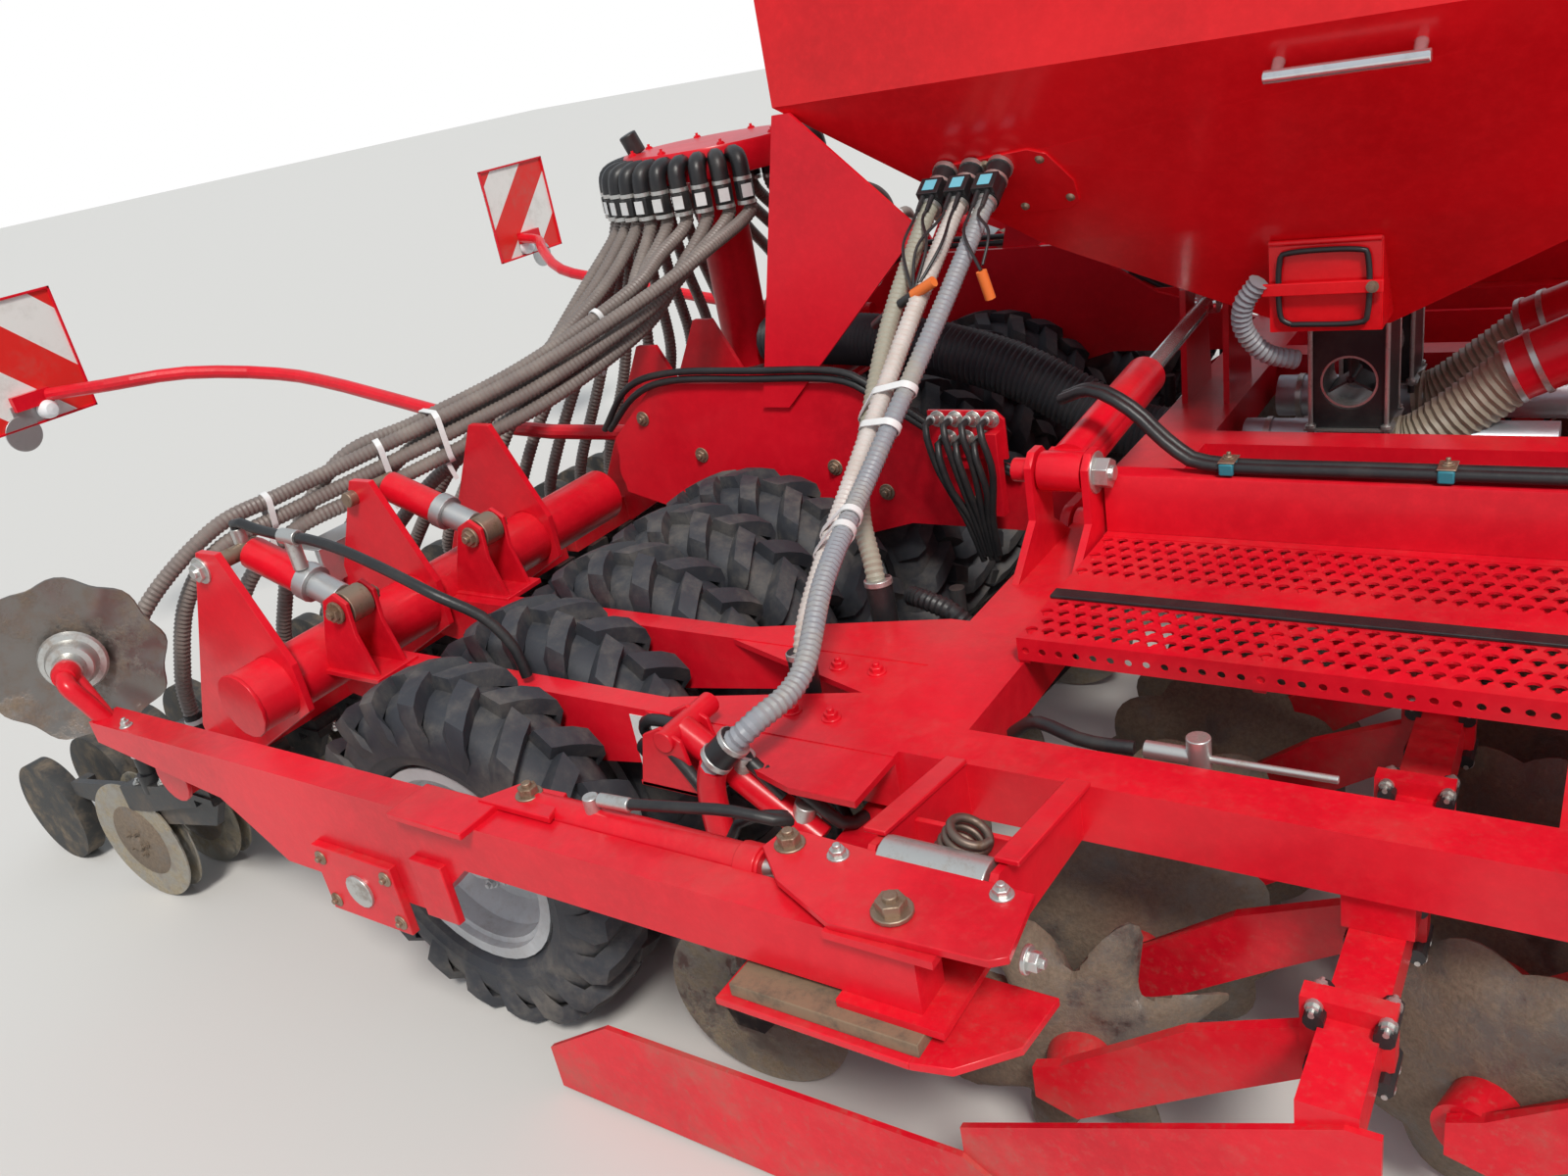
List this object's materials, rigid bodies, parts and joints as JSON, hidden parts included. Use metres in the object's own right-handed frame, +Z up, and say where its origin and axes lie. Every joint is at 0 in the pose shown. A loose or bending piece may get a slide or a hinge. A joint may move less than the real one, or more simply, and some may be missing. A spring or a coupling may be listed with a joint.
{
  "type": "trailed pneumatic seed drill",
  "caption": "Trailed seed drill with hopper, disc harrow, tyre packer, seed coulters, press wheels, folding wings, marker arms and a drawbar on a jack.",
  "frame": {"origin": "middle of the machine's footprint, on the ground", "axes": "+X forward, to the drawbar; +Y to the machine's left; +Z up"},
  "size_m": [7.74, 4.5828, 2.3683],
  "materials": {
    "black_paint": "satin",
    "board_paint": "gloss",
    "chrome_rod": "polished",
    "disc_steel": "worn",
    "hose_rubber": "satin",
    "meter_black": "matt",
    "press_rubber": "matt",
    "red_paint": "gloss",
    "rim_paint": "satin",
    "tyre_rubber": "matt",
    "zinc": "zinc plated"
  },
  "bodies": {
    "chassis": {"centre_frame": "red_paint", "drawbar": "red_paint", "hopper": "red_paint", "metering": "meter_black", "air_duct": "zinc", "fan_housing": "red_paint", "distributor": "red_paint", "disc_arms_centre": "red_paint", "discs_centre": "disc_steel", "coulter_arms_centre": "black_paint", "coulter_discs_centre": "disc_steel", "coulter_frame_centre": "red_paint", "light_arms": "red_paint", "warning_boards": "board_paint", "seed_hoses_centre": "hose_rubber"},
    "lid": {"hopper_lid": "red_paint"},
    "door": {"access_door": "red_paint"},
    "fan": {"fan_rotor": "black_paint"},
    "packer_centre": {"tyres_centre": "tyre_rubber", "rims_centre": "rim_paint"},
    "press_centre": {"press_wheels_centre": "press_rubber"},
    "hitch": {"hitch_bar": "red_paint"},
    "jack": {"jack_leg": "zinc"},
    "wing_right": {"wing_frame_right": "red_paint", "coulter_frame_right": "red_paint", "grating_right": "red_paint", "disc_arms_right": "red_paint", "discs_right": "disc_steel", "coulter_arms_right": "black_paint", "coulter_discs_right": "disc_steel", "seed_hoses_right": "hose_rubber", "coulter_hoses_right": "hose_rubber"},
    "packer_right": {"tyres_right": "tyre_rubber", "rims_right": "rim_paint"},
    "press_right": {"press_wheels_right": "press_rubber"},
    "ram_right": {"fold_barrel_right": "red_paint"},
    "rod_right": {"fold_rod_right": "chrome_rod"},
    "marker_fork_right": {"marker_head_right": "red_paint"},
    "marker_right": {"marker_arm_right": "red_paint"},
    "marker_wheel_right": {"marker_disc_right": "disc_steel"},
    "wing_left": {"wing_frame_left": "red_paint", "coulter_frame_left": "red_paint", "grating_left": "red_paint", "disc_arms_left": "red_paint", "discs_left": "disc_steel", "coulter_arms_left": "black_paint", "coulter_discs_left": "disc_steel", "seed_hoses_left": "hose_rubber", "coulter_hoses_left": "hose_rubber"},
    "packer_left": {"tyres_left": "tyre_rubber", "rims_left": "rim_paint"},
    "press_left": {"press_wheels_left": "press_rubber"},
    "ram_left": {"fold_barrel_left": "red_paint"},
    "rod_left": {"fold_rod_left": "chrome_rod"},
    "marker_fork_left": {"marker_head_left": "red_paint"},
    "marker_left": {"marker_arm_left": "red_paint"},
    "marker_wheel_left": {"marker_disc_left": "disc_steel"}
  },
  "joints": [
    {"name": "lid_open", "type": "hinge", "parent": "chassis", "child": "lid", "pos_m": [0.05, 0.622, 2.3603], "axis": [-1, 0, 0], "range_deg": [0, 90]},
    {"name": "door_open", "type": "hinge", "parent": "chassis", "child": "door", "pos_m": [0.1, -0.4813, 1.173], "axis": [-1, 0, 0], "range_deg": [0, 100]},
    {"name": "fan_spin", "type": "hinge", "parent": "chassis", "child": "fan", "pos_m": [1.56, 0, 1.25], "axis": [0, 1, 0], "continuous": true},
    {"name": "packer_centre_roll", "type": "hinge", "parent": "chassis", "child": "packer_centre", "pos_m": [-1.17, 0, 0.39], "axis": [0, 1, 0], "continuous": true},
    {"name": "press_centre_roll", "type": "hinge", "parent": "chassis", "child": "press_centre", "pos_m": [-2.9, 0, 0.15], "axis": [0, 1, 0], "continuous": true},
    {"name": "hitch_swivel", "type": "hinge", "parent": "chassis", "child": "hitch", "pos_m": [3.57, 0, 0.56], "axis": [0, 0, 1], "range_deg": [-35, 35]},
    {"name": "jack_raise", "type": "slide", "parent": "chassis", "child": "jack", "axis": [0, 0, 1], "range_m": [0, 0.28]},
    {"name": "wing_right_fold", "type": "hinge", "parent": "chassis", "child": "wing_right", "pos_m": [0.22, -0.86, 0.68], "axis": [-1, 0, 0], "range_deg": [0, 90], "deforming": ["seed_hoses_right", "coulter_hoses_right"]},
    {"name": "packer_right_roll", "type": "hinge", "parent": "wing_right", "child": "packer_right", "pos_m": [-1.17, -1.4, 0.39], "axis": [0, 1, 0], "continuous": true},
    {"name": "press_right_roll", "type": "hinge", "parent": "wing_right", "child": "press_right", "pos_m": [-2.9, -1.4, 0.15], "axis": [0, 1, 0], "continuous": true},
    {"name": "ram_right_swing", "type": "hinge", "parent": "wing_right", "child": "ram_right", "pos_m": [-0.26, -1.05, 0.88], "axis": [1, 0, 0], "range_deg": [0, 93.52]},
    {"name": "rod_right_slide", "type": "slide", "parent": "ram_right", "child": "rod_right", "axis": [0, -0.9976, -0.0698], "range_m": [0, 0.3877]},
    {"name": "marker_right_tilt", "type": "hinge", "parent": "wing_right", "child": "marker_fork_right", "pos_m": [-0.06, -2.06, 0.71], "axis": [1, 0, 0], "range_deg": [0, 15]},
    {"name": "marker_right_swing", "type": "hinge", "parent": "marker_fork_right", "child": "marker_right", "pos_m": [-0.06, -2.18, 0.66], "axis": [0, 0, 1], "range_deg": [0, 90]},
    {"name": "marker_right_roll", "type": "hinge", "parent": "marker_right", "child": "marker_wheel_right", "pos_m": [-2.07, -2.16, 0.8], "axis": [-0.766, 0.6428, 0], "continuous": true},
    {"name": "wing_left_fold", "type": "hinge", "parent": "chassis", "child": "wing_left", "pos_m": [0.22, 0.86, 0.68], "axis": [1, 0, 0], "range_deg": [0, 90], "deforming": ["seed_hoses_left", "coulter_hoses_left"]},
    {"name": "packer_left_roll", "type": "hinge", "parent": "wing_left", "child": "packer_left", "pos_m": [-1.17, 1.4, 0.39], "axis": [0, 1, 0], "continuous": true},
    {"name": "press_left_roll", "type": "hinge", "parent": "wing_left", "child": "press_left", "pos_m": [-2.9, 1.4, 0.15], "axis": [0, 1, 0], "continuous": true},
    {"name": "ram_left_swing", "type": "hinge", "parent": "wing_left", "child": "ram_left", "pos_m": [-0.26, 1.05, 0.88], "axis": [-1, 0, 0], "range_deg": [0, 93.52]},
    {"name": "rod_left_slide", "type": "slide", "parent": "ram_left", "child": "rod_left", "axis": [0, 0.9976, -0.0698], "range_m": [0, 0.3877]},
    {"name": "marker_left_tilt", "type": "hinge", "parent": "wing_left", "child": "marker_fork_left", "pos_m": [-0.06, 2.06, 0.71], "axis": [-1, 0, 0], "range_deg": [0, 15]},
    {"name": "marker_left_swing", "type": "hinge", "parent": "marker_fork_left", "child": "marker_left", "pos_m": [-0.06, 2.18, 0.66], "axis": [0, 0, -1], "range_deg": [0, 90]},
    {"name": "marker_left_roll", "type": "hinge", "parent": "marker_left", "child": "marker_wheel_left", "pos_m": [-2.07, 2.16, 0.8], "axis": [-0.766, -0.6428, 0], "continuous": true}
  ],
  "couplings": [
    {"joint": "ram_right_swing", "follows": "wing_right_fold", "ratio": 1.0385},
    {"joint": "rod_right_slide", "follows": "wing_right_fold", "m_per_rad": 0.24651},
    {"joint": "ram_left_swing", "follows": "wing_left_fold", "ratio": 1.0385},
    {"joint": "rod_left_slide", "follows": "wing_left_fold", "m_per_rad": 0.24651}
  ]
}
